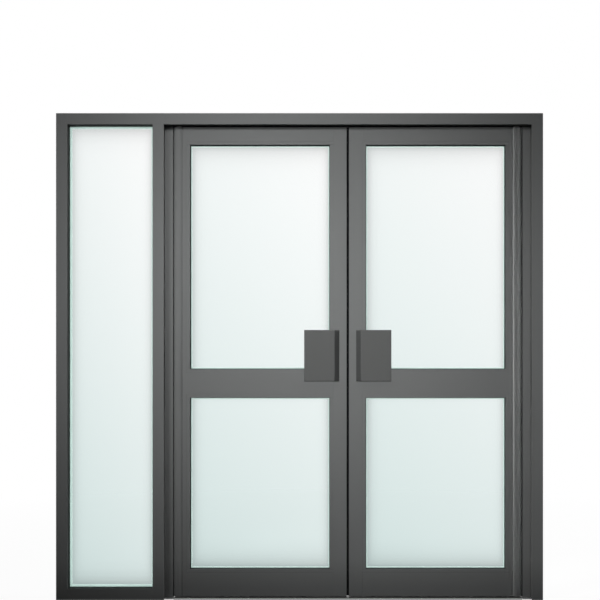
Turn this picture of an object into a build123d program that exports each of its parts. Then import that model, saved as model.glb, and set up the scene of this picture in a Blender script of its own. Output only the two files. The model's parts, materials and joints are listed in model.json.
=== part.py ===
from build123d import *
import os
from math import sqrt

# Aluminium shop front in millimetres: a fixed glazed sidelight beside a pair of double-swing doors.
# Each leaf turns on pivots inside a round-nosed hinge stile, which runs in a hollowed finger guard,
# so no gap opens at the hinge side. The street is at -Y, +X is to the right seen from there and
# +Z is up. The origin is on the floor in the middle of the frame.

# Frame extrusions
frame_width = 2100.0
frame_height = 2100.0
frame_depth = 101.6
frame_face = 48.5
frame_wall = 2.5
frame_edge = 0.8

# Sidelight glazing, held in a pocket of the frame extrusions
sidelight_daylight = 367.5
sidelight_glass = 10.0
pocket_depth = 14.0
pocket_bite = 10.0
pocket_gasket = 8.0
pocket_lip = 2.0

# Door leaves
leaf_thickness = 44.5
leaf_wall = 3.0
leaf_edge = 0.8
head_gap = 6.0
floor_gap = 5.0
meeting_gap = 10.0
pivot_backset = 61.5
nose_proud = 2.75
quirk_reach = 20.0
quirk_depth = 3.0
hinge_stile_reach = 33.0
stile_cap = 3.0
meeting_stile_face = 58.2
top_rail_face = 62.0
mid_rail_face = 94.0
mid_rail_height = 934.0
bottom_rail_face = 102.0

# Leaf glazing, set back towards the shop and held by snap-in beads on both faces
leaf_glass = 8.0
glass_setback = 9.0
bead_face = 15.0
bead_recess = 0.8
bead_wall = 1.6
bead_edge = 1.0
bead_gasket = 4.0
bead_bite = 10.0
bead_lip = 1.5
bead_fit = 0.15
corner_gap = 0.2

# Finger guards and threshold
guard_gap = 6.0
guard_swing_gap = 4.0
guard_wall = 2.5
threshold_height = 7.0
threshold_bevel = 4.0
threshold_end_drop = 2.5
threshold_end_lap = 5.5

# Pivots
pivot_radius = 7.0
pivot_reach = 25.0
pivot_clearance = 0.1
collar_shoulder = 4.0
collar_gap = 0.3
base_shoulder = 6.0
base_height = 2.0
socket_length = 40.0
socket_clearance = 0.25

# Pull handles: a flat plate on a slanted web with a foot on the meeting stile
pull_length = 222.0
pull_height = 1054.0
pull_plate = 129.5
pull_slope = 22.4
pull_standoff = 45.0
pull_thickness = 5.0
pull_inset = 30.8
pull_foot = 20.0
pull_bend = 5.0

# Pile seal in the meeting stiles
brush_width = 8.0
brush_depth = 6.0
brush_proud = 1.9

# Places that follow from the sizes; u runs from the middle of the doors towards a pivot
door_opening = frame_width - 3 * frame_face - sidelight_daylight
door_middle = frame_width / 2 - frame_face - door_opening / 2
reveal_u = door_opening / 2
pivot_u = reveal_u - pivot_backset
jamb_x = frame_width / 2 - frame_face / 2
mullion_x = door_middle - reveal_u - frame_face / 2
sidelight_low = -frame_width / 2 + frame_face
sidelight_high = sidelight_low + sidelight_daylight
head_bottom = frame_height - frame_face
leaf_bottom = threshold_height + floor_gap
leaf_top = head_bottom - head_gap
meeting_u = meeting_gap / 2
rail_low = meeting_u + meeting_stile_face
rail_high = pivot_u - hinge_stile_reach
mid_rail_low = mid_rail_height - mid_rail_face / 2
nose_radius = leaf_thickness / 2 + nose_proud
hollow_radius = nose_radius + guard_gap
guard_half = sqrt(hollow_radius**2 - (leaf_thickness / 2 + guard_swing_gap) ** 2)
end_u = pivot_u + nose_radius - threshold_end_lap
end_height = threshold_height - threshold_end_drop
pocket_width = sidelight_glass + 2 * pocket_gasket
bead_y = -leaf_thickness / 2 + bead_recess
front_bead_depth = (leaf_thickness - leaf_glass) / 2 + glass_setback - bead_gasket - bead_recess
back_bead_depth = front_bead_depth - 2 * glass_setback


def span(low, high, depth):
    """Rectangle from low to high along X, centred on Y."""
    return Pos((low + high) / 2, 0) * Rectangle(high - low, depth)


def tube(face, depth, wall, edge):
    """Hollow rectangular section with rounded outer edges."""
    return RectangleRounded(face, depth, edge) - Rectangle(face - 2 * wall, depth - 2 * wall)


def grooved_tube(face, depth, wall, edge, side, groove_depth, groove_width):
    """Hollow section with a walled groove in its -X or +X side."""
    outside = side * face / 2
    groove = span(*sorted((outside - side * groove_depth, outside)), groove_width)
    lining = span(*sorted((outside - side * (groove_depth + wall), outside)), groove_width + 2 * wall)
    hollow = Rectangle(face - 2 * wall, depth - 2 * wall) - lining
    return RectangleRounded(face, depth, edge) - hollow - groove


def upright(section, x, z_low, z_high):
    """Member that stands along Z, from a section whose X is the face and Y the depth."""
    return Pos(x, 0, z_low) * extrude(section, z_high - z_low)


def crossbar(section, z, x_low, x_high):
    """Member that lies along X, from a section whose X points up and Y is the depth."""
    plane = Plane(origin=(x_low, 0, z), x_dir=(0, 0, 1), z_dir=(1, 0, 0))
    return extrude(plane * section, x_high - x_low)


def sheet(x_low, x_high, z_low, z_high, thickness):
    """Flat pane in the middle of the depth."""
    middle = Pos((x_low + x_high) / 2, 0, (z_low + z_high) / 2)
    return middle * Box(x_high - x_low, thickness, z_high - z_low)


def strips_round(section, x_low, x_high, z_low, z_high, corner, face):
    """Four strips of one section round an opening, on the street side of its glass.

    The section's X runs from the opening's edge towards its middle, and its Y from face towards
    the glass. The strips at foot and top run the width less a cutting gap, and the side ones end
    corner short.
    """
    middle = (x_low + x_high) / 2
    foot_plane = Plane(origin=(middle, face, z_low), x_dir=(0, 0, 1), z_dir=(-1, 0, 0))
    foot = extrude(foot_plane * section, (x_high - x_low) / 2 - corner_gap, both=True)
    side = Pos(x_low, face, z_low + corner) * extrude(section, z_high - z_low - 2 * corner)
    top = mirror(foot, about=Plane.XY.offset((z_low + z_high) / 2))
    other_side = mirror(side, about=Plane.YZ.offset(middle))
    return [foot, top, side, other_side]


def on_both_sides(street_strips, shop_strips):
    """One piece from strips on the street side and others that are turned over to the shop side."""
    turned = [mirror(strip, about=Plane.XZ) for strip in shop_strips]
    return Compound(children=street_strips + turned)


def wedge(low, high, lip, thickness):
    """Gasket section that leans out by lip from the opening's edge to the glass."""
    return Polygon((low, 0), (high, 0), (high + lip, thickness), (low, thickness), align=None)


def frame_pieces():
    """Fixed frame: three full-height uprights with the heads and the sill between them."""
    plain = tube(frame_face, frame_depth, frame_wall, frame_edge)
    glazed = {}
    for side in (-1, 1):
        glazed[side] = grooved_tube(
            frame_face, frame_depth, frame_wall, frame_edge, side, pocket_depth, pocket_width
        )
    head_z = frame_height - frame_face / 2
    door_low = door_middle - reveal_u
    door_high = door_middle + reveal_u
    glass_low = sidelight_low - pocket_bite
    glass_high = sidelight_high + pocket_bite
    gasket_strips = strips_round(
        wedge(-pocket_bite, 0, pocket_lip, pocket_gasket),
        sidelight_low,
        sidelight_high,
        frame_face,
        head_bottom,
        pocket_lip + corner_gap,
        -pocket_width / 2,
    )
    return {
        "left_jamb": upright(glazed[1], -jamb_x, 0, frame_height),
        "mullion": upright(glazed[-1], mullion_x, 0, frame_height),
        "right_jamb": upright(plain, jamb_x, 0, frame_height),
        "sidelight_head": crossbar(glazed[-1], head_z, sidelight_low, sidelight_high),
        "sidelight_sill": crossbar(glazed[1], frame_face / 2, sidelight_low, sidelight_high),
        "door_head": crossbar(plain, head_z, door_low, door_high),
        "sidelight_glass": sheet(
            glass_low, glass_high, frame_face - pocket_bite, head_bottom + pocket_bite, sidelight_glass
        ),
        "sidelight_gaskets": on_both_sides(gasket_strips, gasket_strips),
        "threshold": Pos(door_middle) * threshold(),
    }


def threshold():
    """Flat floor plate with bevelled front and back edges."""
    return crossbar(bevelled_plate(threshold_height), 0, -end_u, end_u)


def bevelled_plate(height):
    """Plate section of a given height, X up, with its front and back edges bevelled."""
    half = frame_depth / 2
    top_half = half - threshold_bevel
    return Polygon((0, -half), (height, -top_half), (height, top_half), (0, half), align=None)


def finger_guard():
    """Hollow upright whose inner side is a round trough about the pivot axis."""
    trough = Pos(pivot_u, 0) * Circle(hollow_radius)
    trough_wall = Pos(pivot_u, 0) * Circle(hollow_radius + guard_wall)
    body = span(pivot_u, reveal_u, 2 * guard_half) - trough
    hollow = span(pivot_u, reveal_u - guard_wall, 2 * (guard_half - guard_wall)) - trough_wall
    return upright(body - hollow, 0, end_height, head_bottom)


def pivot_pin():
    """Pin with a round base and a thrust collar, standing on z = 0 under a leaf floor_gap above."""
    collar_radius = pivot_radius + collar_shoulder
    base_radius = collar_radius + base_shoulder
    outline = Polyline(
        (0, 0),
        (base_radius, 0),
        (base_radius, base_height),
        (collar_radius, base_height),
        (collar_radius, floor_gap - collar_gap),
        (pivot_radius, floor_gap - collar_gap),
        (pivot_radius, floor_gap + pivot_reach),
        (0, floor_gap + pivot_reach),
        close=True,
    )
    return revolve(Plane.XZ * make_face(outline), Axis.Z)


def top_pin():
    """Pin with a round base, hanging from z = 0 into a leaf head_gap below."""
    base_radius = pivot_radius + collar_shoulder
    outline = Polyline(
        (0, 0),
        (base_radius, 0),
        (base_radius, -base_height),
        (pivot_radius, -base_height),
        (pivot_radius, -head_gap - pivot_reach),
        (0, -head_gap - pivot_reach),
        close=True,
    )
    return revolve(Plane.XZ * make_face(outline), Axis.Z)


def frame_side_pieces():
    """Pieces of the frame at one pivot side, in u."""
    return {
        "finger_guard": finger_guard(),
        "threshold_end": crossbar(bevelled_plate(end_height), 0, end_u, reveal_u),
        "bottom_pivot": Pos(pivot_u, 0, threshold_height) * pivot_pin(),
        "top_pivot": Pos(pivot_u, 0, head_bottom) * top_pin(),
    }


def end_caps(section):
    """Plugs of one section that close the foot and the top of a stile."""
    foot = upright(section, 0, leaf_bottom, leaf_bottom + stile_cap)
    top = upright(section, 0, leaf_top - stile_cap, leaf_top)
    return foot + top


def hinge_stile():
    """Hollow stile with a round nose about the pivot axis and a quirk between nose and flat face.

    It is capped beside the pivot sockets.
    """
    waist = leaf_thickness - 2 * quirk_depth
    nose = Pos(pivot_u, 0) * Circle(nose_radius)
    flat = span(rail_high, pivot_u - quirk_reach, leaf_thickness) + span(rail_high, pivot_u, waist)
    inner_nose = Pos(pivot_u, 0) * Circle(nose_radius - leaf_wall)
    inner_flat = span(rail_high + leaf_wall, pivot_u, waist - 2 * leaf_wall)
    tube_length = upright((nose + flat) - (inner_nose + inner_flat), 0, leaf_bottom, leaf_top)
    return tube_length + end_caps(inner_flat - inner_nose)


def pivot_sockets():
    """Bored plugs in the foot and the top of the hinge stile."""
    radius = nose_radius - leaf_wall - socket_clearance
    plug = extrude(Circle(radius) - Circle(pivot_radius + pivot_clearance), socket_length)
    foot = Pos(pivot_u, 0, leaf_bottom) * plug
    top = Pos(pivot_u, 0, leaf_top - socket_length) * plug
    return Compound(children=[foot, top])


def meeting_stile():
    """Hollow stile with a groove for the pile seal in its meeting edge, capped at both ends."""
    section = grooved_tube(
        meeting_stile_face, leaf_thickness, leaf_wall, leaf_edge, -1, brush_depth, brush_width
    )
    tube_length = upright(section, (meeting_u + rail_low) / 2, leaf_bottom, leaf_top)
    lining = meeting_u + brush_depth + leaf_wall
    return tube_length + end_caps(span(lining, rail_low - leaf_wall, leaf_thickness - 2 * leaf_wall))


def meeting_brush():
    """Pile seal that fills its groove and stands a little proud of the meeting edge."""
    section = span(meeting_u - brush_proud, meeting_u + brush_depth, brush_width)
    return upright(section, 0, leaf_bottom, leaf_top)


def rail(z_low, face):
    """Hollow rail between the stiles."""
    section = tube(face, leaf_thickness, leaf_wall, leaf_edge)
    return crossbar(section, z_low + face / 2, rail_low, rail_high)


def bead_section(depth):
    """Snap-in channel of a given depth, open towards its rail, with its outer edge rounded."""
    block = Pos(bead_face / 2, depth / 2) * Rectangle(bead_face, depth)
    outer_edge = block.vertices().sort_by(Axis.X)[-2:].sort_by(Axis.Y)[0]
    block = fillet(outer_edge, bead_edge)
    hollow_face = bead_face - bead_wall
    hollow = Pos(hollow_face / 2, depth / 2) * Rectangle(hollow_face, depth - 2 * bead_wall)
    return block - hollow


def glazing(z_low, z_high):
    """Pane, beads and gaskets of one opening of a leaf."""
    tuck = bead_face - bead_bite
    gasket = wedge(tuck, bead_face, bead_lip, bead_gasket)
    opening = (rail_low + bead_fit, rail_high - bead_fit, z_low + bead_fit, z_high - bead_fit)
    pane = sheet(rail_low + tuck, rail_high - tuck, z_low + tuck, z_high - tuck, leaf_glass)
    beads = []
    gaskets = []
    for depth in (front_bead_depth, back_bead_depth):
        beads.append(strips_round(bead_section(depth), *opening, bead_face + corner_gap, bead_y))
        gaskets.append(strips_round(gasket, *opening, bead_face + bead_lip + corner_gap, bead_y + depth))
    return {
        "glass": Pos(0, glass_setback) * pane,
        "beads": on_both_sides(*beads),
        "gaskets": on_both_sides(*gaskets),
    }


def pull():
    """Bent-plate pull on the street face: foot, slanted web and plate, of one thickness."""
    half = pull_thickness / 2
    web_u = meeting_u + pull_inset
    plate_u = web_u + pull_slope
    face = -leaf_thickness / 2
    near = face - half
    far = face - pull_standoff + half
    line = FilletPolyline(
        (web_u + pull_foot, near),
        (web_u, near),
        (plate_u, far),
        (plate_u + pull_plate - half, far),
        radius=pull_bend,
    )
    section = make_face(offset(line, half, side=Side.BOTH))
    return upright(section, 0, pull_height - pull_length / 2, pull_height + pull_length / 2)


def leaf_pieces():
    """Pieces of one leaf, in u."""
    bottom_rail_top = leaf_bottom + bottom_rail_face
    mid_rail_top = mid_rail_low + mid_rail_face
    top_rail_low = leaf_top - top_rail_face
    pieces = {
        "hinge_stile": hinge_stile(),
        "pivot_sockets": pivot_sockets(),
        "meeting_stile": meeting_stile(),
        "meeting_brush": meeting_brush(),
        "bottom_rail": rail(leaf_bottom, bottom_rail_face),
        "mid_rail": rail(mid_rail_low, mid_rail_face),
        "top_rail": rail(top_rail_low, top_rail_face),
        "front_pull": pull(),
        "back_pull": mirror(pull(), about=Plane.XZ),
    }
    openings = {"lower": (bottom_rail_top, mid_rail_low), "upper": (mid_rail_top, top_rail_low)}
    for place, (z_low, z_high) in openings.items():
        for name, piece in glazing(z_low, z_high).items():
            pieces[f"{place}_{name}"] = piece
    return pieces


def both_sides(pieces):
    """The right-hand pieces and their mirror image on the left, placed about the doors' middle."""
    placed = {}
    for name, piece in pieces.items():
        placed[f"right_{name}"] = Pos(door_middle) * piece
        placed[f"left_{name}"] = Pos(door_middle) * mirror(piece, about=Plane.YZ)
    return placed


os.makedirs("parts", exist_ok=True)
nodes = frame_pieces() | both_sides(frame_side_pieces()) | both_sides(leaf_pieces())
for name, shape in nodes.items():
    export_step(shape, f"parts/{name}.step")
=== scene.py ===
"""Finishes for a glazed aluminium shop front: coat, glass, pulls, seals, screws and a pale stage."""

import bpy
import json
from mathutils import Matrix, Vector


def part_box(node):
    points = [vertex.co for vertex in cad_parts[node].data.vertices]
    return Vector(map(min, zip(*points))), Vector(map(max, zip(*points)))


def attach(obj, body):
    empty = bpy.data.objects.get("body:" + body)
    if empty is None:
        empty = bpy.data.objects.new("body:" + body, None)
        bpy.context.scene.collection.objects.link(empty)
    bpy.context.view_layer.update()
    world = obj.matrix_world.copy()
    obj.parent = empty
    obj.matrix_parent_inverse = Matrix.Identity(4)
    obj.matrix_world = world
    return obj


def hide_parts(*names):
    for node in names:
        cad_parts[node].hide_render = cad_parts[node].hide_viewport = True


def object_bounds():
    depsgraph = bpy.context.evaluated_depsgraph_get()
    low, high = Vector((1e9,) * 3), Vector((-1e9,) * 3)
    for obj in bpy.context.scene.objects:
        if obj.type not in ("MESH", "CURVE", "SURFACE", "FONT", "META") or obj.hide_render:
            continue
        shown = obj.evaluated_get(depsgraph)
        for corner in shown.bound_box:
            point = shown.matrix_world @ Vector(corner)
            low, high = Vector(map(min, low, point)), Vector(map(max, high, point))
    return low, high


bl_info = {
    "name": "Shop Front Finishes",
    "version": (1, 0, 0),
    "blender": (4, 5, 0),
    "location": "View3D > Sidebar > Shop Front",
    "description": "Dresses the aluminium shop front with its coat, glass, pulls, seals and screws",
    "category": "Object",
}

import json
from math import atan2, pi, radians

import bpy
import numpy as np
from bpy.props import FloatProperty, FloatVectorProperty, IntProperty, PointerProperty
from mathutils import Vector

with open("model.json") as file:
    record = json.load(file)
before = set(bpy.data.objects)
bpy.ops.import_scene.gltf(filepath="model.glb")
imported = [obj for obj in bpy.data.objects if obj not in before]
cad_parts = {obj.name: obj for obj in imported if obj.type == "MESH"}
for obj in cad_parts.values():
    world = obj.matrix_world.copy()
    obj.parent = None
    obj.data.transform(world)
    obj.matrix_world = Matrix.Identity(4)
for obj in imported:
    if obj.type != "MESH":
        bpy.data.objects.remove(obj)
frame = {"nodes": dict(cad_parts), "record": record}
CAD_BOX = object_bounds()
SIDES = ("left", "right")
# A leaf's faces, each with the way along Y in which it looks
FACES = (("front", -1), ("back", 1))


class CoatSettings(bpy.types.PropertyGroup):
    """Powder coat and bare metal"""

    colour: FloatVectorProperty(
        name="Coat colour", description="Colour of the powder coat", subtype="COLOR",
        default=(0.142, 0.146, 0.145), min=0, max=1,
    )
    pull_colour: FloatVectorProperty(
        name="Pull colour", description="Colour of the coat on the pulls", subtype="COLOR",
        default=(0.093, 0.095, 0.094), min=0, max=1,
    )
    roughness: FloatProperty(
        name="Coat roughness", description="How dull the coat is", default=0.44, min=0, max=1
    )
    shine: FloatProperty(
        name="Coat shine", description="Share of a clear layer over the coat", default=0.02, min=0, max=1
    )
    grain: FloatProperty(
        name="Grain", description="Size of the coat's fine grain", default=0.0016, subtype="DISTANCE"
    )
    # Painted shade: the coat darkens towards the floor, to this share of its colour at the floor, and is
    # full again at the height that follows.
    painted_foot_shade: FloatProperty(
        name="Painted foot shade", description="Share of its colour that the coat keeps at the floor", default=0.64,
        min=0, max=1, subtype="FACTOR",
    )
    painted_foot_shade_height: FloatProperty(
        name="Scuff height", description="Height up to which the coat is painted darker", default=0.17,
        subtype="DISTANCE",
    )
    threshold: FloatVectorProperty(
        name="Threshold colour", description="Colour of the bare aluminium floor plate", subtype="COLOR",
        default=(0.30, 0.30, 0.295), min=0, max=1,
    )
    bright: FloatVectorProperty(
        name="Bright metal colour", description="Colour of threshold ends and screws", subtype="COLOR",
        default=(0.74, 0.745, 0.74), min=0, max=1,
    )
    pivot: FloatVectorProperty(
        name="Pivot colour", description="Colour of the steel pivots and their sockets", subtype="COLOR",
        default=(0.16, 0.16, 0.155), min=0, max=1,
    )
    rubber: FloatVectorProperty(
        name="Gasket colour", description="Colour of the glazing rubber", subtype="COLOR",
        default=(0.010, 0.019, 0.017), min=0, max=1,
    )


class GlassSettings(bpy.types.PropertyGroup):
    """Panes of pale green glass"""

    # Painted light: the glass's own green tint is paled towards the upper right and deepened towards the
    # lower left, from the low tint to the high tint; slant and bow shape that change.
    high_tint: FloatVectorProperty(
        name="High tint", description="What one face lets through at the upper right", subtype="COLOR",
        default=(0.999, 0.999, 0.998), min=0, max=1,
    )
    low_tint: FloatVectorProperty(
        name="Low tint", description="What one face lets through at the lower left", subtype="COLOR",
        default=(0.789, 0.868, 0.859), min=0, max=1,
    )
    slant: FloatProperty(
        name="Slant", description="Share of the tint's change that runs across a pane",
        default=0.23, min=0, max=1,
    )
    bow: FloatProperty(
        name="Bow", description="Power of the height in the tint's change, under 1 to pale sooner",
        default=0.88, min=0.1, max=3,
    )
    rim_tint: FloatVectorProperty(
        name="Rim tint", description="Colour of the ground bevel round a pane", subtype="COLOR",
        default=(0.730, 0.850, 0.812), min=0, max=1,
    )
    rim_haze: FloatProperty(
        name="Rim haze", description="How much of the bevel scatters what is behind it",
        default=0.8, min=0, max=1,
    )
    veil: FloatVectorProperty(
        name="Veil", description="Colour of the faint white haze on a pane", subtype="COLOR",
        default=(0.88, 0.91, 0.90), min=0, max=1,
    )
    veil_share: FloatProperty(
        name="Veil share", description="How much of one face the haze covers", default=0.02, min=0, max=1
    )
    # Painted shade: the edge tint and the borders below darken the glass next to its bevel on every side.
    painted_edge_shade: FloatVectorProperty(
        name="Edge tint", description="What one face lets through next to its bevel", subtype="COLOR",
        default=(0.782, 0.782, 0.782), min=0, max=1,
    )
    upper_share: FloatProperty(
        name="Upper share", description="Depth of the side and head borders, as a share of the foot's",
        default=0.8, min=0, max=1,
    )
    side_fades: FloatVectorProperty(
        name="Side fades", description="Reach of the darker border at the left and at the right", size=2,
        default=(0.0171, 0.0118), min=0.0001, subtype="XYZ_LENGTH",
    )
    end_fade: FloatProperty(
        name="End fade", description="Reach of the darker border at head and floor",
        default=0.032, min=0.0001, subtype="DISTANCE",
    )
    rail_fade: FloatProperty(
        name="Rail fade", description="Reach of the darker border at the mid rail",
        default=0.0002, min=0.0001, subtype="DISTANCE",
    )
    bite: FloatProperty(
        name="Bite", description="How far the pane goes into its beads",
        default=0.010, subtype="DISTANCE",
    )
    rim_width: FloatProperty(
        name="Rim width", description="Width of the bevel inside a leaf's beads",
        default=0.0060, subtype="DISTANCE",
    )
    fixed_rim: FloatProperty(
        name="Fixed rim", description="Width of the bevel round the fixed pane",
        default=0.0105, subtype="DISTANCE",
    )
    rim_fall: FloatProperty(
        name="Rim fall", description="How much the bevel thins each face",
        default=0.0012, subtype="DISTANCE",
    )
    seam: FloatProperty(
        name="Seam", description="Width over which the bevel ends", default=0.0004, subtype="DISTANCE"
    )
    lip_width: FloatProperty(
        name="Lip width", description="How far the rubber lip reaches over the pane from its bead",
        default=0.0023, subtype="DISTANCE",
    )
    lip_height: FloatProperty(
        name="Lip height", description="Depth of the rubber between the pane and its bead",
        default=0.0040, subtype="DISTANCE",
    )
    lines: IntProperty(
        name="Lines", description="Lines of a pane's grid from an edge to its middle", default=16, min=2
    )


class PullSettings(bpy.types.PropertyGroup):
    """Pulls bent from plate: a foot on the stile, a slanted web and a flat plate"""

    plate: FloatProperty(
        name="Plate", description="Width of the flat plate from its bend",
        default=0.1295, subtype="DISTANCE",
    )
    slope: FloatProperty(
        name="Slope", description="How far the web leans", default=0.0224, subtype="DISTANCE"
    )
    foot: FloatProperty(
        name="Foot", description="Width of the foot from its bend", default=0.020, subtype="DISTANCE"
    )
    thickness: FloatProperty(
        name="Thickness", description="Thickness of the plate", default=0.005, subtype="DISTANCE"
    )
    bend: FloatProperty(
        name="Bend", description="Radius of the bends at mid thickness",
        default=0.005, subtype="DISTANCE",
    )
    edge_width: FloatProperty(
        name="Edge width", description="Width of the rounded edge", default=0.005, subtype="DISTANCE"
    )
    edge_drop: FloatProperty(
        name="Edge drop", description="How far the rounded edge falls away",
        default=0.004, subtype="DISTANCE",
    )
    bits: IntProperty(name="Bits", description="Bits of each bend and rounded edge", default=8, min=2)
    # Painted shade: the slanted web of a pull keeps only this share of the coat's colour.
    web_painted_shade: FloatVectorProperty(
        name="Web shade", description="Share of the coat's colour that the web keeps", subtype="COLOR",
        default=(0.81, 0.82, 0.82), min=0, max=1,
    )


class SealSettings(bpy.types.PropertyGroup):
    """Pile seals round the leaves"""

    colour: FloatVectorProperty(
        name="Pile colour", description="Colour of the pile", subtype="COLOR",
        default=(0.006, 0.006, 0.007), min=0, max=1,
    )
    play: FloatProperty(
        name="Play", description="Distance the pile keeps from what it closes on",
        default=0.0005, subtype="DISTANCE",
    )
    pitch: FloatProperty(
        name="Pitch", description="Distance between tufts", default=0.0022, subtype="DISTANCE"
    )
    tuft: FloatProperty(
        name="Tuft", description="Width of one tuft at its root", default=0.0020, subtype="DISTANCE"
    )
    rows: IntProperty(name="Rows", description="Rows of tufts across a strip", default=4, min=1)
    seed: IntProperty(name="Seed", description="Draw of the tufts' lean", default=7)


class ScrewSettings(bpy.types.PropertyGroup):
    """Dome-headed screws"""

    radius: FloatProperty(
        name="Head radius", description="Radius of a screw's head", default=0.0048, subtype="DISTANCE"
    )
    rise: FloatProperty(
        name="Head rise", description="Height of a screw's head", default=0.0016, subtype="DISTANCE"
    )
    flush_rise: FloatProperty(
        name="Flush rise", description="Height of a head sunk in the threshold",
        default=0.0003, subtype="DISTANCE",
    )
    threshold_count: IntProperty(
        name="Threshold screws", description="Screws along each edge of the threshold", default=7, min=2
    )
    threshold_margin: FloatProperty(
        name="Threshold margin", description="From a row's last screw to the threshold's end",
        default=0.06, subtype="DISTANCE",
    )
    threshold_row: FloatProperty(
        name="Threshold row", description="Place of a row, as a share of the way to the threshold's edge",
        default=0.74, min=0, max=1,
    )
    pull_count: IntProperty(
        name="Pull screws", description="Screws in the foot of each pull", default=3, min=2
    )
    pull_margin: FloatProperty(
        name="Pull margin", description="From the last screw to the end of a pull",
        default=0.035, subtype="DISTANCE",
    )
    pull_inset: FloatProperty(
        name="Pull inset", description="From a pull's bend to the middle of its screws",
        default=0.0155, subtype="DISTANCE",
    )


class StageSettings(bpy.types.PropertyGroup):
    """Camera, lamps and floor"""

    distance: FloatProperty(
        name="Camera distance", description="From the front of the frame",
        default=5.5, subtype="DISTANCE",
    )
    eye: FloatProperty(
        name="Camera height", description="Height of the camera", default=1.053, subtype="DISTANCE"
    )
    width: FloatProperty(
        name="View width", description="Width of the view at the frame",
        default=2.5868, subtype="DISTANCE",
    )
    shift: FloatVectorProperty(
        name="Shift", description="Shift of the view, as shares of its width", size=2,
        default=(-0.0796, 0.0933),
    )
    ambient: FloatProperty(
        name="Ambient", description="Strength of the light from all round", default=0.025, min=0
    )
    panel: FloatProperty(
        name="Panel", description="Power of the wide front panel", default=20.0, min=0
    )
    front: FloatProperty(
        name="Front", description="Power of the front lamp", default=1080.0, min=0
    )
    left_key: FloatProperty(
        name="Left key", description="Power of the lamp at the left in front", default=550.0, min=0
    )
    right_key: FloatProperty(
        name="Right key", description="Power of the lamp on the right", default=330.0, min=0
    )
    left_shine: FloatProperty(
        name="Left shine", description="Power of the panel that shines on edges from the left",
        default=7000.0, min=0,
    )
    right_shine: FloatProperty(
        name="Right shine", description="Power of the panel that shines on edges from the right",
        default=1200.0, min=0,
    )
    back: FloatProperty(
        name="Back", description="Strength of the light from the shop", default=2.6, min=0
    )
    side: FloatProperty(
        name="Side", description="Strength of the light from either side", default=1.8, min=0
    )


class ShopFrontSettings(bpy.types.PropertyGroup):
    """All settings of the shop front"""

    coat: PointerProperty(type=CoatSettings)
    glass: PointerProperty(type=GlassSettings)
    pull: PointerProperty(type=PullSettings)
    seal: PointerProperty(type=SealSettings)
    screw: PointerProperty(type=ScrewSettings)
    stage: PointerProperty(type=StageSettings)


def settings():
    """The scene's shop front settings."""
    return bpy.context.scene.shop_front


class Tree:
    """A material's or world's node tree, emptied, with short calls to add and link nodes."""

    # Socket numbers of a mix node's two colours and of its mixed colour
    COLOURS = (6, 7)
    MIXED = 2

    def __init__(self, owner):
        owner.use_nodes = True
        self.nodes = owner.node_tree.nodes
        self.links = owner.node_tree.links
        self.nodes.clear()

    def add(self, kind, inputs=None, **options):
        """Adds a node; inputs maps socket names or numbers to a value or to another node's output."""
        node = self.nodes.new(kind)
        for name, value in options.items():
            setattr(node, name, value)
        for name, value in (inputs or {}).items():
            if isinstance(value, bpy.types.NodeSocket):
                self.links.new(value, node.inputs[name])
            else:
                node.inputs[name].default_value = value
        return node

    def noise(self, size, detail=2.0, stretch=(1.0, 1.0, 1.0)):
        """Noise on Object coordinates with features of about the given size in metres."""
        place = self.add("ShaderNodeTexCoord").outputs["Object"]
        turned = self.add("ShaderNodeMapping", {"Vector": place, "Scale": stretch})
        inputs = {"Vector": turned.outputs["Vector"], "Scale": 1.0 / size, "Detail": detail}
        return self.add("ShaderNodeTexNoise", inputs).outputs["Fac"]

    def height(self, top):
        """Number that goes from 0 at the floor to 1 at top, in Object coordinates."""
        place = self.add("ShaderNodeTexCoord").outputs["Object"]
        up = self.add("ShaderNodeSeparateXYZ", {"Vector": place}).outputs["Z"]
        return self.add("ShaderNodeMapRange", {"Value": up, "From Max": top}).outputs["Result"]

    def between(self, factor, low, high):
        """Number that goes from low to high as factor goes from 0.3 to 0.7."""
        inputs = {"Value": factor, "From Min": 0.3, "From Max": 0.7, "To Min": low, "To Max": high}
        return self.add("ShaderNodeMapRange", inputs).outputs["Result"]

    def blend(self, factor, low, high, kind="MIX"):
        """Colour that goes from low to high, or to low times high, with factor."""
        inputs = {
            number: colour if isinstance(colour, bpy.types.NodeSocket) else (*colour, 1)
            for number, colour in zip(self.COLOURS, (low, high))
        }
        inputs["Factor"] = factor
        node = self.add("ShaderNodeMix", data_type="RGBA", blend_type=kind, inputs=inputs)
        return node.outputs[self.MIXED]

    def mix(self, factor, low, high):
        """Shader that goes from low to high with factor, a number or a socket."""
        return self.add("ShaderNodeMixShader", {"Fac": factor, 1: low, 2: high}).outputs["Shader"]

    def bump(self, height, depth, strength):
        """Normal pushed by height, which is depth metres deep at full strength."""
        inputs = {"Height": height, "Distance": depth, "Strength": strength}
        return self.add("ShaderNodeBump", inputs).outputs["Normal"]

    def output(self, shader, kind="ShaderNodeOutputMaterial"):
        """Links a shader to the tree's output."""
        self.add(kind, {"Surface": shader})

    def surface(self, inputs):
        """Ends the tree in one principled shader."""
        self.output(self.add("ShaderNodeBsdfPrincipled", inputs).outputs["BSDF"])


def new_finish(name):
    """Material with the given name, and its emptied tree."""
    material = bpy.data.materials.new(name)
    return material, Tree(material)


def shade(colour, factor):
    """Colour with each part multiplied."""
    return tuple(part * factor for part in colour)


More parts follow.
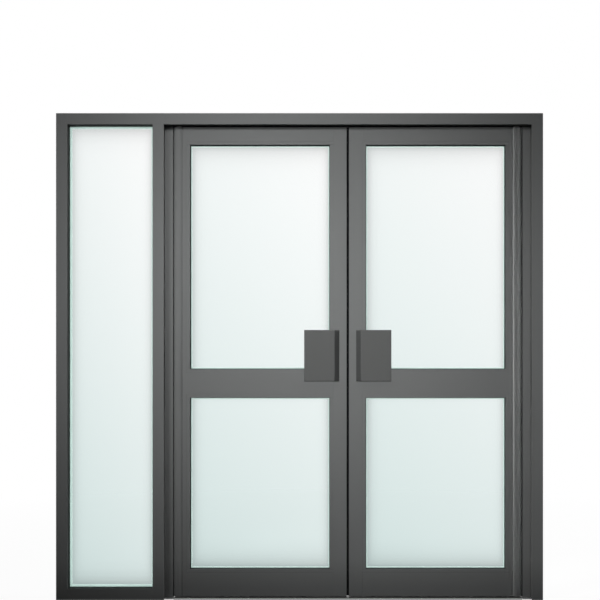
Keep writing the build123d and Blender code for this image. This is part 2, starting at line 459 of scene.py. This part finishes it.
def powder_coat(name, colour):
    """Matt powder coat: fine grain, a slow drift of tone, a faint uneven sheen, and painted shade that
    darkens it towards the floor.

    A piece's web attribute, where it has one, picks out where painted shade leaves only a share of the
    colour.
    """
    coat = settings().coat
    material, tree = new_finish(name)
    grain = tree.noise(coat.grain, detail=3.0)
    drift = tree.noise(size=0.35, detail=1.0)
    even = tree.blend(drift, shade(colour, 0.97), shade(colour, 1.03))
    # Painted shade: the coat darker towards the floor.
    foot_shaded_colour = tree.blend(tree.height(coat.painted_foot_shade_height), shade(colour, coat.painted_foot_shade), even)
    # Painted shade on a pull's slanted web, which keeps only a share of the colour.
    web = tree.add("ShaderNodeAttribute", attribute_name="web").outputs["Fac"]
    tree.surface({
        "Base Color": tree.blend(web, foot_shaded_colour, settings().pull.web_painted_shade, "MULTIPLY"),
        "Roughness": tree.between(grain, coat.roughness - 0.04, coat.roughness + 0.04),
        "Specular IOR Level": 0.0,
        "Coat Weight": coat.shine,
        "Coat Roughness": 0.3,
        "Normal": tree.bump(grain, depth=0.00012, strength=0.35),
    })
    return material


def drawn_metal(name, colour, roughness, stretch):
    """Bare metal with fine drawing lines, which run where stretch is small."""
    material, tree = new_finish(name)
    lines = tree.noise(size=0.0009, stretch=stretch)
    tree.surface({
        "Base Color": tree.blend(lines, shade(colour, 0.9), shade(colour, 1.06)),
        "Metallic": 0.85,
        "Roughness": tree.between(lines, roughness - 0.06, roughness + 0.06),
        "Normal": tree.bump(lines, depth=0.0001, strength=0.3),
    })
    return material


def rubber():
    """Dull black glazing rubber with a faint bloom."""
    material, tree = new_finish("glazing_rubber")
    colour = settings().coat.rubber
    bloom = tree.noise(size=0.004, detail=3.0)
    tree.surface({
        "Base Color": tree.blend(bloom, shade(colour, 0.8), shade(colour, 1.4)),
        "Roughness": tree.between(bloom, 0.6, 0.75),
        "Specular IOR Level": 0.2,
        "Normal": tree.bump(bloom, depth=0.0001, strength=0.3),
    })
    return material


def pile():
    """Black polypropylene pile, dull, with a slight sheen on the fibres."""
    material, tree = new_finish("black_pile")
    colour = settings().seal.colour
    fibres = tree.noise(size=0.0012)
    tree.surface({
        "Base Color": tree.blend(fibres, shade(colour, 0.6), shade(colour, 1.5)),
        "Roughness": 0.9,
        "Specular IOR Level": 0.1,
        "Sheen Weight": 0.05,
        "Normal": tree.bump(fibres, depth=0.0003, strength=0.4),
    })
    return material


def pane_glass():
    """Pale green pane: clear tint, a thin white veil that takes the light, and a ground green bevel.

    A pane attribute of painted light goes from 0 at the lower left to 1 at the upper right and picks the
    tint: the green is the glass's own, and its paling towards the upper right is painted light. Its
    border attribute darkens the glass next to the bevel as painted shade and falls to 0 on the open
    glass, and its rim attribute is 1 on the bevel alone, which scatters what is behind it.
    """
    glass = settings().glass
    material, tree = new_finish("pale_green_glass")
    painted_light, border, rim = (
        tree.add("ShaderNodeAttribute", attribute_name=name).outputs["Fac"]
        for name in ("painted_light", "border", "rim")
    )
    # Painted light: the glass's own green, paler towards the upper right and darker towards the lower
    # left.
    tint_and_painted_light = tree.blend(painted_light, glass.low_tint, glass.high_tint)
    # Painted shade: the tint darkened next to the bevel.
    tint = tree.blend(border, tint_and_painted_light, glass.painted_edge_shade, "MULTIPLY")
    haze = tree.noise(size=0.25, detail=1.0)
    veil = tree.add("ShaderNodeBsdfPrincipled", {
        "Base Color": (*glass.veil, 1),
        "Roughness": tree.between(haze, 0.10, 0.16),
        "Specular IOR Level": 0.2,
    })
    clear = tree.add("ShaderNodeBsdfTransparent", {"Color": tint})
    open_glass = tree.mix(glass.veil_share, clear.outputs["BSDF"], veil.outputs["BSDF"])
    rim_clear = tree.add("ShaderNodeBsdfTransparent", {"Color": (*glass.rim_tint, 1)})
    rim_ground = tree.add("ShaderNodeBsdfTranslucent", {"Color": (*glass.rim_tint, 1)})
    bevel = tree.mix(glass.rim_haze, rim_clear.outputs["BSDF"], rim_ground.outputs["BSDF"])
    body = tree.mix(rim, open_glass, bevel)
    gloss = tree.add("ShaderNodeBsdfGlossy", {"Color": (1, 1, 1, 1), "Roughness": 0.03})
    inside = tree.add("ShaderNodeNewGeometry").outputs["Backfacing"]
    refraction = 1.3
    facing = tree.add("ShaderNodeFresnel", {"IOR": tree.between(inside, refraction, 1 / refraction)})
    tree.output(tree.mix(facing.outputs["Fac"], body, gloss.outputs["BSDF"]))
    return material


def ring_quads(rings, sides, closed=False):
    """Quads between neighbouring rings of points, with the last side joined to the first.

    Where closed, the last ring is joined to the first as well.
    """
    ring = np.arange(rings if closed else rings - 1)[:, None]
    start = ring * sides
    end = (ring + 1) % rings * sides
    side = np.arange(sides)[None, :]
    following = (side + 1) % sides
    return np.stack([start + side, start + following, end + following, end + side], -1).reshape(-1, 4)


def new_piece(name, points, quads, material, body):
    """Object at the origin from an array of points and one of quads, riding on a body."""
    mesh = bpy.data.meshes.new(name)
    mesh.from_pydata(points.reshape(-1, 3).tolist(), [], quads.tolist())
    mesh.materials.append(material)
    piece = bpy.data.objects.new(name, mesh)
    bpy.context.scene.collection.objects.link(piece)
    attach(piece, body)
    return piece


def carry(piece, name, values):
    """Puts an array of numbers, one for each point, on a piece as an attribute."""
    attribute = piece.data.attributes.new(name, "FLOAT", "POINT")
    attribute.data.foreach_set("value", values.astype(np.float32))


def repeated(points, quads, places):
    """One shape's points moved to each place, and its quads numbered to match."""
    moved = points[None, :, :] + places[:, None, :]
    shifted = quads[None, :, :] + (np.arange(len(places)) * len(points))[:, None, None]
    return moved.reshape(-1, 3), shifted.reshape(-1, 4)


def joined(parts):
    """Several shapes' points and quads as one."""
    counts = np.cumsum([0] + [len(points) for points, quads in parts[:-1]])
    points = np.concatenate([points for points, quads in parts])
    quads = np.concatenate([quads + count for (shape, quads), count in zip(parts, counts)])
    return points, quads


def placed(shape, origin, axes):
    """Shape whose own X, Y and Z are laid along three axes, with its quads kept facing outwards."""
    points, quads = shape
    turn = np.array(axes, dtype=float)
    return points @ turn + np.array(origin), quads if np.linalg.det(turn) > 0 else quads[:, ::-1]


def tufts(length, width, reach, draw):
    """Tufts on a grid of rows and pitches, length along X, width along Y and standing to Z = reach.

    Each is a four-sided spike from a square root to a smaller tip, which leans by a drawn amount.
    A thin film in the middle of the strip closes what shows between them.
    """
    seal = settings().seal
    half = seal.tuft / 2
    most_lean = 0.35
    shortest = 0.9
    tip_share = 0.7
    film_half = 0.0001
    x = np.arange(length[0] + half, length[1] - half, seal.pitch)
    y = np.linspace(width[0] + half, width[1] - half, seal.rows)
    roots = np.stack(np.meshgrid(x, y, indexing="ij"), -1).reshape(-1, 2)
    lean = draw.uniform(-most_lean, most_lean, roots.shape) * seal.tuft
    height = reach * draw.uniform(shortest, 1.0, len(roots))
    corner = np.array([(-1, -1), (1, -1), (1, 1), (-1, 1)]) * half
    edges = np.array([length, width])
    foot = roots[:, None, :] + corner
    tip = np.clip((roots + lean)[:, None, :] + tip_share * corner, edges[:, 0], edges[:, 1])
    foot_points = np.dstack([foot, np.zeros(foot.shape[:2])])
    tip_points = np.dstack([tip, np.repeat(height[:, None], 4, axis=1)])
    film_size = np.array([(length[1] - length[0]) / 2, film_half])
    film_foot = edges.mean(axis=1) + corner / half * film_size
    film = np.concatenate([np.insert(film_foot, 2, level, axis=1) for level in (0.0, reach)])
    points = np.concatenate([np.concatenate([foot_points, tip_points], axis=1), film[None]])
    block = np.concatenate([ring_quads(2, 4), [[3, 2, 1, 0], [4, 5, 6, 7]]])
    quads = block[None] + (np.arange(len(points)) * points.shape[1])[:, None, None]
    return points.reshape(-1, 3), quads.reshape(-1, 4)


def pane_lines(low, high, marks, count):
    """Places of a pane's grid lines from low to high: at marks from each edge, then ever wider apart.

    The step from the last mark to the middle grows as the square of a line's number.
    """
    reach = (high - low) / 2 - marks[-1]
    near = np.concatenate([marks, marks[-1] + reach * np.linspace(0, 1, count)[1:] ** 2])
    return np.concatenate([low + near, (high - near)[-2::-1]])


def shell(front, back):
    """Closed sheet from two grids of points side by side, with walls between their edges.

    Front faces the way that its columns' direction crossed with its rows' direction points.
    """
    rows, columns = front.shape[:2]
    number = np.arange(rows * columns).reshape(rows, columns)
    corners = (number[:-1, :-1], number[:-1, 1:], number[1:, 1:], number[1:, :-1])
    cells = np.stack(corners, -1).reshape(-1, 4)
    edge = np.concatenate([number[0, :-1], number[:-1, -1], number[-1, :0:-1], number[:0:-1, 0]])
    after = np.roll(edge, -1)
    size = rows * columns
    walls = np.stack([edge, edge + size, after + size, after], -1)
    points = np.concatenate([front, back]).reshape(-1, 3)
    return points, np.concatenate([cells, cells[:, ::-1] + size, walls])


def pane_surface(x, z, middle, half_thickness):
    """Closed pane on a grid of x and z, with two faces half_thickness each side of middle.

    Half_thickness is an array with a row for each z and a column for each x.
    """
    across, up = np.meshgrid(x, z)
    faces = [np.stack([across, middle + side * half_thickness, up], -1) for side in (-1, 1)]
    return shell(*faces)


def bent_line(start, heading, lengths, turns):
    """Points of a chain of runs and bits of arc, with the heading and the length left at each.

    Each step goes along the mean of its two headings by its chord, which is its length times
    sin(turn / 2) / (turn / 2).
    """
    headings = heading + np.concatenate([[0.0], np.cumsum(turns)])
    mean = headings[:-1] + turns / 2
    moves = (lengths * np.sinc(turns / (2 * pi)))[:, None] * np.stack([np.cos(mean), np.sin(mean)], -1)
    points = np.array(start) + np.concatenate([np.zeros((1, 2)), np.cumsum(moves, axis=0)])
    left = lengths.sum() - np.concatenate([[0.0], np.cumsum(lengths)])
    return points, headings, left


def bent_pull(height, standoff):
    """Pull with its free edge at X = 0, its foot on Y = 0 and its plate's face at Y = standoff.

    A line through the plate's middle runs from the foot round two bends to the free edge and is carried
    up Z. The faces lie half a thickness either side, and the outer one falls away at the free edge and at
    both ends as a quarter of an ellipse. The third value says how much each point is on the web.
    """
    pull = settings().pull
    half = pull.thickness / 2
    rise = standoff - pull.thickness
    lean = atan2(rise, pull.slope)
    angles = np.array([pi - lean, lean])
    cut = pull.bend * np.tan(angles / 2)
    bits = pull.bits
    fall = pull.edge_width * (1 - np.sin(np.linspace(0, pi / 2, bits)))
    runs = (pull.foot - cut[0], np.hypot(pull.slope, rise) - cut.sum(), pull.plate - cut[1] - fall[0])
    arcs = np.repeat(angles[:, None] / bits, bits, axis=1)
    lengths = np.concatenate(
        [runs[:1], pull.bend * arcs[0], runs[1:2], pull.bend * arcs[1], runs[2:], -np.diff(fall)]
    )
    turns = np.concatenate([[0.0], -arcs[0], [0.0], -arcs[1], [0.0], np.zeros(bits - 1)])
    start = (pull.foot - pull.slope - pull.plate, half)
    line, heading, left = bent_line(start, pi, lengths, turns)
    z = np.concatenate([fall[::-1], height - fall])[:, None]
    nearest = np.minimum(left[None, :], np.minimum(z, height - z))
    share = np.clip(1 - nearest / pull.edge_width, 0, 1)
    drop = pull.edge_drop * (1 - np.sqrt(1 - share**2)) * (np.cos(heading) > 0)
    normal = np.stack([-np.sin(heading), np.cos(heading)], -1)
    up = np.repeat(z, len(line), axis=1)[:, :, None]
    outer = np.concatenate([line + normal * (half - drop)[:, :, None], up], axis=2)
    inner = np.concatenate([np.tile(line - normal * half, (len(z), 1, 1)), up], axis=2)
    # How much each point is on the slanted web, which gets painted shade in its coat.
    web = np.clip(np.sin(heading) / np.sin(lean), 0, 1)
    return *shell(inner, outer), np.tile(web, 2 * len(z))


def pane_lip(low, high, face, outward, fall):
    """Rubber lip round the pane between the corners low and high, on the face at Y = face.

    The section is a quarter of an ellipse that goes from the lip's width on the pane to its height at the
    bead, closed by a foot that goes down by fall. Each of its points is carried round a rectangle, inset
    by its distance from the bead.
    """
    glass = settings().glass
    angle = np.linspace(0, pi / 2, num=8)
    inset = np.concatenate([[0.0, glass.lip_width], glass.lip_width * np.cos(angle)])
    rise = np.concatenate([[-fall, -fall], glass.lip_height * np.sin(angle)])
    x = np.stack([low.x + inset, high.x - inset, high.x - inset, low.x + inset], -1)
    z = np.stack([low.z + inset, low.z + inset, high.z - inset, high.z - inset], -1)
    y = np.repeat((face + outward * rise)[:, None], 4, axis=1)
    quads = ring_quads(len(inset), 4, closed=True)
    return np.stack([x, y, z], -1).reshape(-1, 3), quads if outward > 0 else quads[:, ::-1]


def screw_head(radius, rise):
    """Dome on a circle with a sunk star, as rings of points from the rim over the dome into the recess.

    Each ring has its share of the radius and of the rise. The rings of the recess, which are those within
    half the radius, swing by the star's depth times the cosine of its points times the angle.
    """
    star_points = 6
    star_depth = 0.22
    recess_share = 0.5
    share = np.array([1.0, 1.0, 0.85, 0.62, 0.44, 0.40, 0.12])
    height = rise * np.array([0.0, 0.25, 0.55, 0.85, 0.95, 0.35, 0.30])
    angle = np.linspace(0, 2 * pi, 4 * star_points, endpoint=False)
    swing = 1.0 + star_depth * np.cos(star_points * angle)[None, :]
    star = np.where(share[:, None] < recess_share, swing, 1.0)
    reach = radius * share[:, None] * star
    z = np.repeat(height[:, None], len(angle), axis=1)
    points = np.stack([reach * np.cos(angle), reach * np.sin(angle), z], -1)
    return points, ring_quads(len(share), len(angle))


def closed_head(radius, rise):
    """Screw head with its middle and base closed by fans of quads that meet at one point each."""
    points, quads = screw_head(radius, rise)
    rings, sides = points.shape[:2]
    flat = points.reshape(-1, 3)
    top, base = len(flat), len(flat) + 1
    middle = np.array([[0, 0, points[-1, 0, 2]], [0, 0, 0]])
    pair = np.arange(0, sides, 2)
    last = (rings - 1) * sides
    following = (pair + 2) % sides
    cap = np.stack([last + pair, last + pair + 1, last + following, np.full(len(pair), top)], -1)
    foot = np.stack([following, pair + 1, pair, np.full(len(pair), base)], -1)
    return np.concatenate([flat, middle]), np.concatenate([quads, cap, foot])


class SHOPFRONT_OT_coat_members(bpy.types.Operator):
    """Gives every aluminium, steel, rubber and pile member its finish"""

    bl_idname = "shopfront.coat_members"
    bl_label = "Coat Members"

    def execute(self, context):
        coat = settings().coat
        finishes = {
            "painted_aluminium": powder_coat("powder_coat", coat.colour),
            "pull_coat": powder_coat("pull_coat", coat.pull_colour),
            "mill_aluminium": drawn_metal("drawn_aluminium", coat.threshold, 0.42, (0.03, 1, 1)),
            "bright_metal": drawn_metal("bright_steel", coat.bright, 0.34, (1, 1, 0.1)),
            "pivot_steel": drawn_metal("pivot_steel", coat.pivot, 0.5, (1, 1, 0.1)),
            "gasket": rubber(),
            "pile": pile(),
        }
        for part in frame["record"]["subparts"]:
            finish = finishes.get(part["material_slot"])
            if finish is None:
                continue
            mesh = frame["nodes"][part["node"]].data
            mesh.materials.clear()
            mesh.materials.append(finish)
        return {"FINISHED"}


class SHOPFRONT_OT_glaze_openings(bpy.types.Operator):
    """Puts a pane with a bevelled rim in the sidelight and in each opening of the leaves"""

    bl_idname = "shopfront.glaze_openings"
    bl_label = "Glaze Openings"

    def execute(self, context):
        glass = settings().glass
        material = pane_glass()
        self.pane("sidelight", "frame", glass.fixed_rim, glass.end_fade, glass.end_fade, material)
        for side in SIDES:
            body = f"{side}_leaf"
            self.pane(f"{side}_lower", body, glass.rim_width, glass.end_fade, glass.rail_fade, material)
            self.pane(f"{side}_upper", body, glass.rim_width, glass.rail_fade, glass.end_fade, material)
        return {"FINISHED"}

    def pane(self, name, body, rim_width, foot_fade, top_fade, material):
        """One pane in the place of its node, thinned by a bevel near its edges.

        The half thickness follows the distance to the nearest edge: thin in the beads, a slope on the
        bevel and then full. Each border is painted shade next to the bevel: it falls off as its share
        times e to the minus distance over its reach, and the borders combine as 1 less the product of
        what each leaves. The painted light of the tint is a sum of the height's share of the whole front,
        to the power bow, and the place across the pane.
        """
        glass = settings().glass
        low, high = map(Vector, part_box(f"{name}_glass"))
        full = (high.y - low.y) / 2
        thin = full - glass.rim_fall
        arris = glass.rim_fall / 2
        inner = glass.bite + rim_width
        marks = np.array([0.0, arris, glass.bite, inner, inner + glass.seam])
        x = pane_lines(low.x, high.x, marks, glass.lines)
        z = pane_lines(low.z, high.z, marks, glass.lines)
        left = (x - low.x)[None, :]
        right = (high.x - x)[None, :]
        foot = (z - low.z)[:, None]
        top = (high.z - z)[:, None]
        nearest = np.minimum(np.minimum(left, right), np.minimum(foot, top))
        thickness = np.interp(nearest, [0.0, arris, glass.bite, inner], [thin - arris, thin, thin, full])
        points, quads = pane_surface(x, z, (low.y + high.y) / 2, thickness)
        piece = new_piece(f"{name}_pane", points, quads, material, body)
        left_fade, right_fade = glass.side_fades
        clear = 1.0
        borders = (
            (left, left_fade, glass.upper_share), (right, right_fade, glass.upper_share),
            (top, top_fade, glass.upper_share), (foot, foot_fade, 1.0),
        )
        # Painted shade: the glass darkened next to its bevel.
        for distance, reach, share in borders:
            clear = clear * (1.0 - share * np.exp(-np.maximum(distance - inner, 0.0) / reach))
        # Painted light: the tint paler with height and towards the right.
        height = (z[:, None] / CAD_BOX[1][2]) ** glass.bow
        values = {
            "border": 1.0 - clear,
            "rim": nearest < inner + glass.seam / 2,
            "painted_light": (1.0 - glass.slant) * height + glass.slant * left / (high.x - low.x),
        }
        for attribute, face in values.items():
            carry(piece, attribute, np.tile(face.ravel(), 2))
        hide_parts(f"{name}_glass")


class SHOPFRONT_OT_press_lips(bpy.types.Operator):
    """Presses a rubber lip against both faces of each pane in the leaves, along its beads"""

    bl_idname = "shopfront.press_lips"
    bl_label = "Press Lips"

    def execute(self, context):
        glass = settings().glass
        bite = Vector((glass.bite, 0, glass.bite))
        material = bpy.data.materials["glazing_rubber"]
        for side in SIDES:
            for part in ("lower", "upper"):
                low, high = map(Vector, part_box(f"{side}_{part}_glass"))
                points, quads = joined([
                    pane_lip(low + bite, high - bite, face, outward, glass.rim_fall)
                    for face, outward in ((low.y, -1), (high.y, 1))
                ])
                new_piece(f"{side}_{part}_lips", points, quads, material, f"{side}_leaf")
        return {"FINISHED"}


class SHOPFRONT_OT_bend_pulls(bpy.types.Operator):
    """Puts a bent plate with rounded edges in the place of each pull"""

    bl_idname = "shopfront.bend_pulls"
    bl_label = "Bend Pulls"

    def execute(self, context):
        for side, away in zip(SIDES, (-1, 1)):
            for face, outward in FACES:
                node = f"{side}_{face}_pull"
                coat = frame["nodes"][node].data.materials[0]
                low, high = map(Vector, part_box(node))
                points, quads, web = bent_pull(high.z - low.z, high.y - low.y)
                origin = (high.x if away > 0 else low.x, high.y if outward < 0 else low.y, low.z)
                axes = ((away, 0, 0), (0, outward, 0), (0, 0, 1))
                points, quads = placed((points, quads), origin, axes)
                name = f"{side}_{face}_bent_pull"
                piece = new_piece(name, points, quads, coat, f"{side}_leaf")
                carry(piece, "web", web)
                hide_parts(node)
        return {"FINISHED"}


class SHOPFRONT_OT_fit_pile_seals(bpy.types.Operator):
    """Stands rows of tufts on the meeting edge, the top and the foot of each leaf, to close its gaps"""

    bl_idname = "shopfront.fit_pile_seals"
    bl_label = "Fit Pile Seals"

    def execute(self, context):
        play = settings().seal.play
        # The tufts of the two leaves meet in the middle, a hair apart
        hair = play / 100
        draw = np.random.default_rng(settings().seal.seed)
        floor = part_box("threshold")[1][2]
        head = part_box("door_head")[0][2]
        middle = (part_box("left_meeting_stile")[1][0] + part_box("right_meeting_stile")[0][0]) / 2
        for side, inward in zip(SIDES, (1, -1)):
            low, high = map(Vector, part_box(f"{side}_meeting_brush"))
            root = high.x if inward > 0 else low.x
            width = (low.y, high.y)
            meeting = tufts((low.z, high.z), width, abs(middle - root) - hair, draw)
            parts = [placed(meeting, (root, 0, 0), ((0, 0, 1), (0, 1, 0), (inward, 0, 0)))]
            for along in self.strips(side, "top_pivot"):
                top = tufts(along, width, head - high.z - play, draw)
                parts.append(placed(top, (0, 0, high.z), ((1, 0, 0), (0, 1, 0), (0, 0, 1))))
            for along in self.strips(side, "bottom_pivot"):
                foot = tufts(along, width, low.z - floor - play, draw)
                parts.append(placed(foot, (0, 0, low.z), ((1, 0, 0), (0, 1, 0), (0, 0, -1))))
            points, quads = joined(parts)
            material = bpy.data.materials["black_pile"]
            new_piece(f"{side}_pile", points, quads, material, f"{side}_leaf")
        return {"FINISHED"}

    def strips(self, side, pivot):
        """Reaches along X of the strips on a leaf's end: either side of the pivot's collar."""
        play = settings().seal.play
        collar = [corner[0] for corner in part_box(f"{side}_{pivot}")]
        hinge = [corner[0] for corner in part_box(f"{side}_hinge_stile")]
        meeting = [corner[0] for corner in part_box(f"{side}_meeting_stile")]
        left = (min(hinge[0], meeting[0]) + play, collar[0] - play)
        right = (collar[1] + play, max(hinge[1], meeting[1]) - play)
        return left, right


class SHOPFRONT_OT_fit_screws(bpy.types.Operator):
    """Sets dome-headed screws along the threshold and in the feet of the pulls"""

    bl_idname = "shopfront.fit_screws"
    bl_label = "Fit Screws"

    def execute(self, context):
        self.threshold_screws()
        for side in SIDES:
            for face, outward in FACES:
                self.pull_screws(side, face, outward)
        return {"FINISHED"}

    def threshold_screws(self):
        """Two rows along the plate, in front of and behind the leaves."""
        screw = settings().screw
        low, high = map(Vector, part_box("threshold"))
        margin = screw.threshold_margin
        x = np.linspace(low.x + margin, high.x - margin, screw.threshold_count)
        y = np.array([low.y, high.y]) * screw.threshold_row
        grid = np.stack(np.meshgrid(x, y), -1).reshape(-1, 2)
        places = np.column_stack([grid, np.full(len(grid), high.z)])
        points, quads = repeated(*closed_head(screw.radius, screw.flush_rise), places)
        material = bpy.data.materials["bright_steel"]
        new_piece("threshold_screws", points, quads, material, "frame")

    def pull_screws(self, side, face, outward):
        """A row up the pull's foot, with the heads turned to face out of the leaf."""
        screw = settings().screw
        low, high = map(Vector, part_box(f"{side}_{face}_pull"))
        leaf_low, leaf_high = map(Vector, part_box(f"{side}_mid_rail"))
        face_y = (leaf_high.y if outward > 0 else leaf_low.y) + outward * settings().pull.thickness
        x = high.x - screw.pull_inset if side == "left" else low.x + screw.pull_inset
        z = np.linspace(low.z + screw.pull_margin, high.z - screw.pull_margin, screw.pull_count)
        head, quads = closed_head(screw.radius, screw.rise)
        turned = np.stack([head[:, 0], outward * head[:, 2], -outward * head[:, 1]], -1)
        places = np.column_stack([np.full(len(z), x), np.full(len(z), face_y), z])
        points, quads = repeated(turned, quads, places)
        name = f"{side}_{face}_pull_screws"
        material = bpy.data.materials["bright_steel"]
        new_piece(name, points, quads, material, f"{side}_leaf")


class SHOPFRONT_OT_set_stage(bpy.types.Operator):
    """Makes the pale floor, the lamps, the white surround and the camera"""

    bl_idname = "shopfront.set_stage"
    bl_label = "Set Stage"

    def execute(self, context):
        self.surround(context.scene)
        self.floor()
        self.lamps()
        self.camera(context.scene)
        context.scene.view_settings.view_transform = "Standard"
        return {"FINISHED"}

    def seen(self, tree):
        """1 on rays from the camera, in mirrors and through glass, and 0 on rays that light things."""
        path = tree.add("ShaderNodeLightPath").outputs
        either = path["Is Camera Ray"]
        for ray in ("Is Glossy Ray", "Is Transmission Ray"):
            larger = tree.add("ShaderNodeMath", {0: either, 1: path[ray]}, operation="MAXIMUM")
            either = larger.outputs["Value"]
        return either

    def surround(self, scene):
        """World that looks white and lights softly."""
        world = bpy.data.worlds.new("white_surround")
        scene.world = world
        tree = Tree(world)
        strength = tree.add("ShaderNodeMapRange", {
            "Value": self.seen(tree), "To Min": settings().stage.ambient, "To Max": 1.0,
        })
        light = tree.add("ShaderNodeBackground", {
            "Strength": strength.outputs["Result"], "Color": (1, 1, 1, 1),
        })
        tree.output(light.outputs["Background"], "ShaderNodeOutputWorld")

    def floor(self):
        """Flat square that shows the object's shadow near it and fades to white further off."""
        half = 14.0
        tone = 0.15
        near_glow = 0.925
        fade = {"From Min": 1.2, "From Max": 4.5}
        corner = np.array([(-1, -1, 0), (1, -1, 0), (1, 1, 0), (-1, 1, 0)]) * half
        mesh = bpy.data.meshes.new("floor")
        mesh.from_pydata(corner.tolist(), [], [(0, 1, 2, 3)])
        floor = bpy.data.objects.new("floor", mesh)
        bpy.context.scene.collection.objects.link(floor)
        material, tree = new_finish("pale_floor")
        place = tree.add("ShaderNodeTexCoord").outputs["Object"]
        radius = tree.add("ShaderNodeVectorMath", {0: place}, operation="LENGTH").outputs["Value"]
        far = tree.add("ShaderNodeMapRange", {"Value": radius, **fade})
        lit = tree.add("ShaderNodeBsdfDiffuse", {"Color": (*[tone] * 3, 1)})
        glow, white = (
            tree.add("ShaderNodeEmission", {"Strength": self.seen(tree), "Color": (*[level] * 3, 1)})
            for level in (near_glow, 1.0)
        )
        near = tree.add("ShaderNodeAddShader", {0: lit.outputs["BSDF"], 1: glow.outputs["Emission"]})
        tree.output(tree.mix(far.outputs["Result"], near.outputs["Shader"], white.outputs["Emission"]))
        mesh.materials.append(material)

    def lamp(self, name, kind, place, target, power, **options):
        """Lamp at a place, turned to a target, that shows only by its light."""
        light = bpy.data.lights.new(name, kind)
        light.energy = power
        for option, value in options.items():
            setattr(light, option, value)
        lamp = bpy.data.objects.new(name, light)
        lamp.location = place
        lamp.rotation_mode = "QUATERNION"
        lamp.rotation_quaternion = (Vector(target) - Vector(place)).to_track_quat("-Z", "Y")
        lamp.visible_camera = False
        bpy.context.scene.collection.objects.link(lamp)
        return lamp

    def members(self, name, objects):
        """Group of objects that a lamp treats apart."""
        group = bpy.data.collections.new(name)
        for member in objects:
            group.objects.link(member)
        return group

    def lamps(self):
        """A wide panel and spots in front, two panels that shine on painted edges, and level suns."""
        stage = settings().stage
        spots = (
            ("front_lamp", (-0.2, -3.6, 4.0), (-0.1, 0, 1.55), stage.front, 27, 0.8),
            ("left_key", (-3.4, -4.0, 2.8), (-0.2, 0, 1.05), stage.left_key, 29, 0.6),
            ("right_key", (1.0, -4.6, 2.8), (0.85, 0, 0.85), stage.right_key, 31, 0.5),
        )
        pulls = [bpy.data.objects[f"{side}_front_bent_pull"] for side in SIDES]
        soft = self.members("members_without_shadow", pulls)
        for member in soft.collection_objects:
            member.light_linking.link_state = "EXCLUDE"
        for name, place, target, power, cone, radius in spots:
            spot = self.lamp(
                name, "SPOT", place, target, power,
                spot_size=radians(cone), spot_blend=1.0, shadow_soft_size=radius,
            )
            spot.visible_glossy = False
            spot.light_linking.blocker_collection = soft
        panel = self.lamp(
            "front_panel", "AREA", (0.0, -2.6, 3.1), (0.0, 0, 1.4), stage.panel,
            shape="RECTANGLE", size=4.0, size_y=1.2,
        )
        panel.visible_glossy = False
        shining = self.members("shining_members", [frame["nodes"]["right_hinge_stile"]])
        shines = (
            ("left_shine", (-3.6, -2.4, 1.3), stage.left_shine),
            ("right_shine", (3.9, -3.4, 1.3), stage.right_shine),
        )
        for name, place, power in shines:
            shine = self.lamp(
                name, "AREA", place, (0.2, 0, 1.1), power, shape="RECTANGLE", size=1.6, size_y=2.8
            )
            shine.visible_diffuse = False
            shine.light_linking.receiver_collection = shining
        level = (
            ("shop_light", (0.2, 6.0, 2.0), stage.back),
            ("left_light", (-6.0, 0.0, 2.0), stage.side),
            ("right_light", (6.0, 0.0, 2.0), stage.side),
        )
        for name, place, strength in level:
            light = self.lamp(name, "SUN", place, (0.0, 0.0, 1.4), strength, angle=radians(8))
            light.visible_glossy = False

    def camera(self, scene):
        """Level camera in front of the middle of the doors, shifted to the picture's framing."""
        stage = settings().stage
        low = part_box("left_meeting_stile")[1][0]
        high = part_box("right_meeting_stile")[0][0]
        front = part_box("left_jamb")[0][1]
        data = bpy.data.cameras.new("camera")
        data.sensor_width = 36.0
        data.lens = data.sensor_width * stage.distance / stage.width
        data.shift_x, data.shift_y = stage.shift
        camera = bpy.data.objects.new("camera", data)
        camera.location = ((low + high) / 2, front - stage.distance, stage.eye)
        camera.rotation_euler = (pi / 2, 0, 0)
        scene.collection.objects.link(camera)
        scene.camera = camera


STEPS = (
    SHOPFRONT_OT_coat_members,
    SHOPFRONT_OT_glaze_openings,
    SHOPFRONT_OT_press_lips,
    SHOPFRONT_OT_bend_pulls,
    SHOPFRONT_OT_fit_pile_seals,
    SHOPFRONT_OT_fit_screws,
    SHOPFRONT_OT_set_stage,
)


class SHOPFRONT_PT_finishes(bpy.types.Panel):
    """Lists the steps that dress the shop front"""

    bl_idname = "SHOPFRONT_PT_finishes"
    bl_label = "Shop Front"
    bl_space_type = "VIEW_3D"
    bl_region_type = "UI"
    bl_category = "Shop Front"

    def draw(self, context):
        for step in STEPS:
            self.layout.operator(step.bl_idname)


CLASSES = (
    CoatSettings,
    GlassSettings,
    PullSettings,
    SealSettings,
    ScrewSettings,
    StageSettings,
    ShopFrontSettings,
    *STEPS,
    SHOPFRONT_PT_finishes,
)


def register():
    """Registers the classes and hangs the settings on the scene."""
    for cls in CLASSES:
        bpy.utils.register_class(cls)
    bpy.types.Scene.shop_front = PointerProperty(type=ShopFrontSettings)


def unregister():
    """Takes the settings and the classes away again."""
    del bpy.types.Scene.shop_front
    for cls in reversed(CLASSES):
        bpy.utils.unregister_class(cls)


def main():
    register()
    bpy.ops.shopfront.coat_members()
    bpy.ops.shopfront.glaze_openings()
    bpy.ops.shopfront.press_lips()
    bpy.ops.shopfront.bend_pulls()
    bpy.ops.shopfront.fit_pile_seals()
    bpy.ops.shopfront.fit_screws()
    bpy.ops.shopfront.set_stage()


if __name__ == "__main__":
    main()
